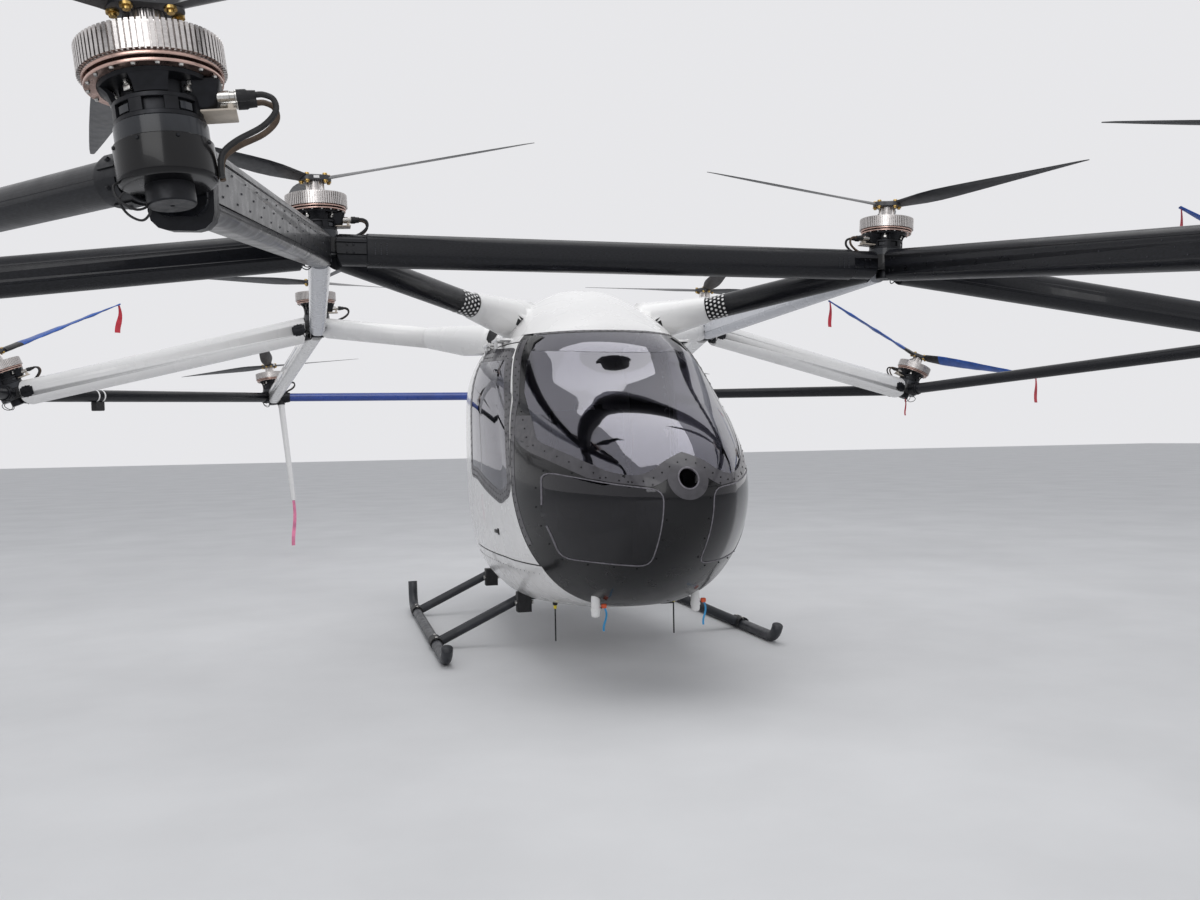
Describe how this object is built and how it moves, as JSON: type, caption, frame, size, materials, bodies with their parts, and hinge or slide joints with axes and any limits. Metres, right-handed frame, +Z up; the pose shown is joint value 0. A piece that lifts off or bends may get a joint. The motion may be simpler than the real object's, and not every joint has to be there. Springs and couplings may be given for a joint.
{
  "type": "twelve-rotor electric flying car",
  "caption": "Electric flying car: a hollow egg-shaped cabin on skids under a frame of black tubes that carries lifting rotors on open motors.",
  "frame": {"origin": "on the ground, on the plane of symmetry, in the middle of the space covered by the parked machine", "axes": "+Z up, nose towards -Y, +X to port"},
  "size_m": [10.5794, 10.7643, 2.5351],
  "materials": {
    "black_rubber": "matt",
    "carbon_black": "satin clear coat over black fibre tube",
    "grey_case": "matt",
    "cabin_white": "gloss white paint",
    "cabin_black": "gloss black paint",
    "floor_grey": "matt",
    "tinted_glass": "dark tint",
    "gear_black": "satin black",
    "joint_black": "satin black",
    "panel_black": "matt",
    "adapter_black": "satin black",
    "motor_silver": "machined",
    "probe_white": "satin",
    "seat_leather": "soft grain",
    "seat_shell": "matt",
    "rotor_black": "satin black"
  },
  "bodies": {
    "airframe": {"antennas": "black_rubber", "arms_front": "carbon_black", "arms_rear": "carbon_black", "battery": "grey_case", "beam_front_cross": "carbon_black", "beam_tail_cross": "carbon_black", "beams_front_side": "carbon_black", "beams_middle_side": "carbon_black", "beams_nose": "carbon_black", "beams_nose_outer": "carbon_black", "beams_outer_side": "carbon_black", "beams_rear_side": "carbon_black", "beams_tail": "carbon_black", "beams_tail_outer": "carbon_black", "cabin_body": "cabin_white", "cabin_floor": "floor_grey", "cabin_nose": "cabin_black", "cabin_roof": "cabin_white", "chin_windows": "tinted_glass", "cross_tubes": "gear_black", "frame_joints": "joint_black", "instrument_panel": "panel_black", "motor_adapters": "adapter_black", "motor_rings": "motor_silver", "nose_probes": "probe_white", "seat_cushions": "seat_leather", "seat_frames": "seat_shell", "skid_dampers": "gear_black", "skid_tubes": "gear_black", "tail_rods": "probe_white", "windshield": "tinted_glass"},
    "door_port": {"door_port": "cabin_white", "door_glass_port": "tinted_glass"},
    "door_starboard": {"door_starboard": "cabin_white", "door_glass_starboard": "tinted_glass"},
    "rotor_nose_port": {"rotor_nose_port": "rotor_black"},
    "rotor_nose_starboard": {"rotor_nose_starboard": "rotor_black"},
    "rotor_front_inner_port": {"rotor_front_inner_port": "rotor_black"},
    "rotor_front_inner_starboard": {"rotor_front_inner_starboard": "rotor_black"},
    "rotor_front_outer_port": {"rotor_front_outer_port": "rotor_black"},
    "rotor_front_outer_starboard": {"rotor_front_outer_starboard": "rotor_black"},
    "rotor_rear_inner_port": {"rotor_rear_inner_port": "rotor_black"},
    "rotor_rear_inner_starboard": {"rotor_rear_inner_starboard": "rotor_black"},
    "rotor_rear_outer_port": {"rotor_rear_outer_port": "rotor_black"},
    "rotor_rear_outer_starboard": {"rotor_rear_outer_starboard": "rotor_black"},
    "rotor_tail_port": {"rotor_tail_port": "rotor_black"},
    "rotor_tail_starboard": {"rotor_tail_starboard": "rotor_black"}
  },
  "joints": [
    {"name": "door_port_swing", "type": "hinge", "parent": "airframe", "child": "door_port", "pos_m": [0.552, -0.82966, 1.712], "axis": [0, -1, 0], "range_deg": [0, 75]},
    {"name": "door_starboard_swing", "type": "hinge", "parent": "airframe", "child": "door_starboard", "pos_m": [-0.552, -0.82966, 1.712], "axis": [0, 1, 0], "range_deg": [0, 75]},
    {"name": "rotor_nose_port_spin", "type": "hinge", "parent": "airframe", "child": "rotor_nose_port", "pos_m": [1.84268, -4.33812, 1.97178], "axis": [0.1216, 0.0698, 0.9901], "continuous": true},
    {"name": "rotor_nose_starboard_spin", "type": "hinge", "parent": "airframe", "child": "rotor_nose_starboard", "pos_m": [-1.84268, -4.33812, 1.97178], "axis": [-0.1216, 0.0698, 0.9901], "continuous": true},
    {"name": "rotor_front_inner_port_spin", "type": "hinge", "parent": "airframe", "child": "rotor_front_inner_port", "pos_m": [1.51115, -1.48966, 2.33197], "axis": [0.0523, 0, 0.9986], "continuous": true},
    {"name": "rotor_front_inner_starboard_spin", "type": "hinge", "parent": "airframe", "child": "rotor_front_inner_starboard", "pos_m": [-1.51115, -1.48966, 2.33197], "axis": [-0.0523, 0, 0.9986], "continuous": true},
    {"name": "rotor_front_outer_port_spin", "type": "hinge", "parent": "airframe", "child": "rotor_front_outer_port", "pos_m": [4.53999, -1.55466, 1.9396], "axis": [0.454, 0, 0.891], "continuous": true},
    {"name": "rotor_front_outer_starboard_spin", "type": "hinge", "parent": "airframe", "child": "rotor_front_outer_starboard", "pos_m": [-4.53999, -1.55466, 1.9396], "axis": [-0.454, 0, 0.891], "continuous": true},
    {"name": "rotor_rear_inner_port_spin", "type": "hinge", "parent": "airframe", "child": "rotor_rear_inner_port", "pos_m": [1.51577, 1.31534, 2.26199], "axis": [0.0349, 0, 0.9994], "continuous": true},
    {"name": "rotor_rear_inner_starboard_spin", "type": "hinge", "parent": "airframe", "child": "rotor_rear_inner_starboard", "pos_m": [-1.51577, 1.31534, 2.26199], "axis": [-0.0349, 0, 0.9994], "continuous": true},
    {"name": "rotor_rear_outer_port_spin", "type": "hinge", "parent": "airframe", "child": "rotor_rear_outer_port", "pos_m": [3.73857, 1.81381, 1.7802], "axis": [0.3898, -0.0698, 0.9183], "continuous": true},
    {"name": "rotor_rear_outer_starboard_spin", "type": "hinge", "parent": "airframe", "child": "rotor_rear_outer_starboard", "pos_m": [-3.73857, 1.81381, 1.7802], "axis": [-0.3898, -0.0698, 0.9183], "continuous": true},
    {"name": "rotor_tail_port_spin", "type": "hinge", "parent": "airframe", "child": "rotor_tail_port", "pos_m": [1.97729, 4.67264, 1.88876], "axis": [0.104, 0.1045, 0.9891], "continuous": true},
    {"name": "rotor_tail_starboard_spin", "type": "hinge", "parent": "airframe", "child": "rotor_tail_starboard", "pos_m": [-1.97729, 4.67264, 1.88876], "axis": [-0.104, 0.1045, 0.9891], "continuous": true}
  ]
}
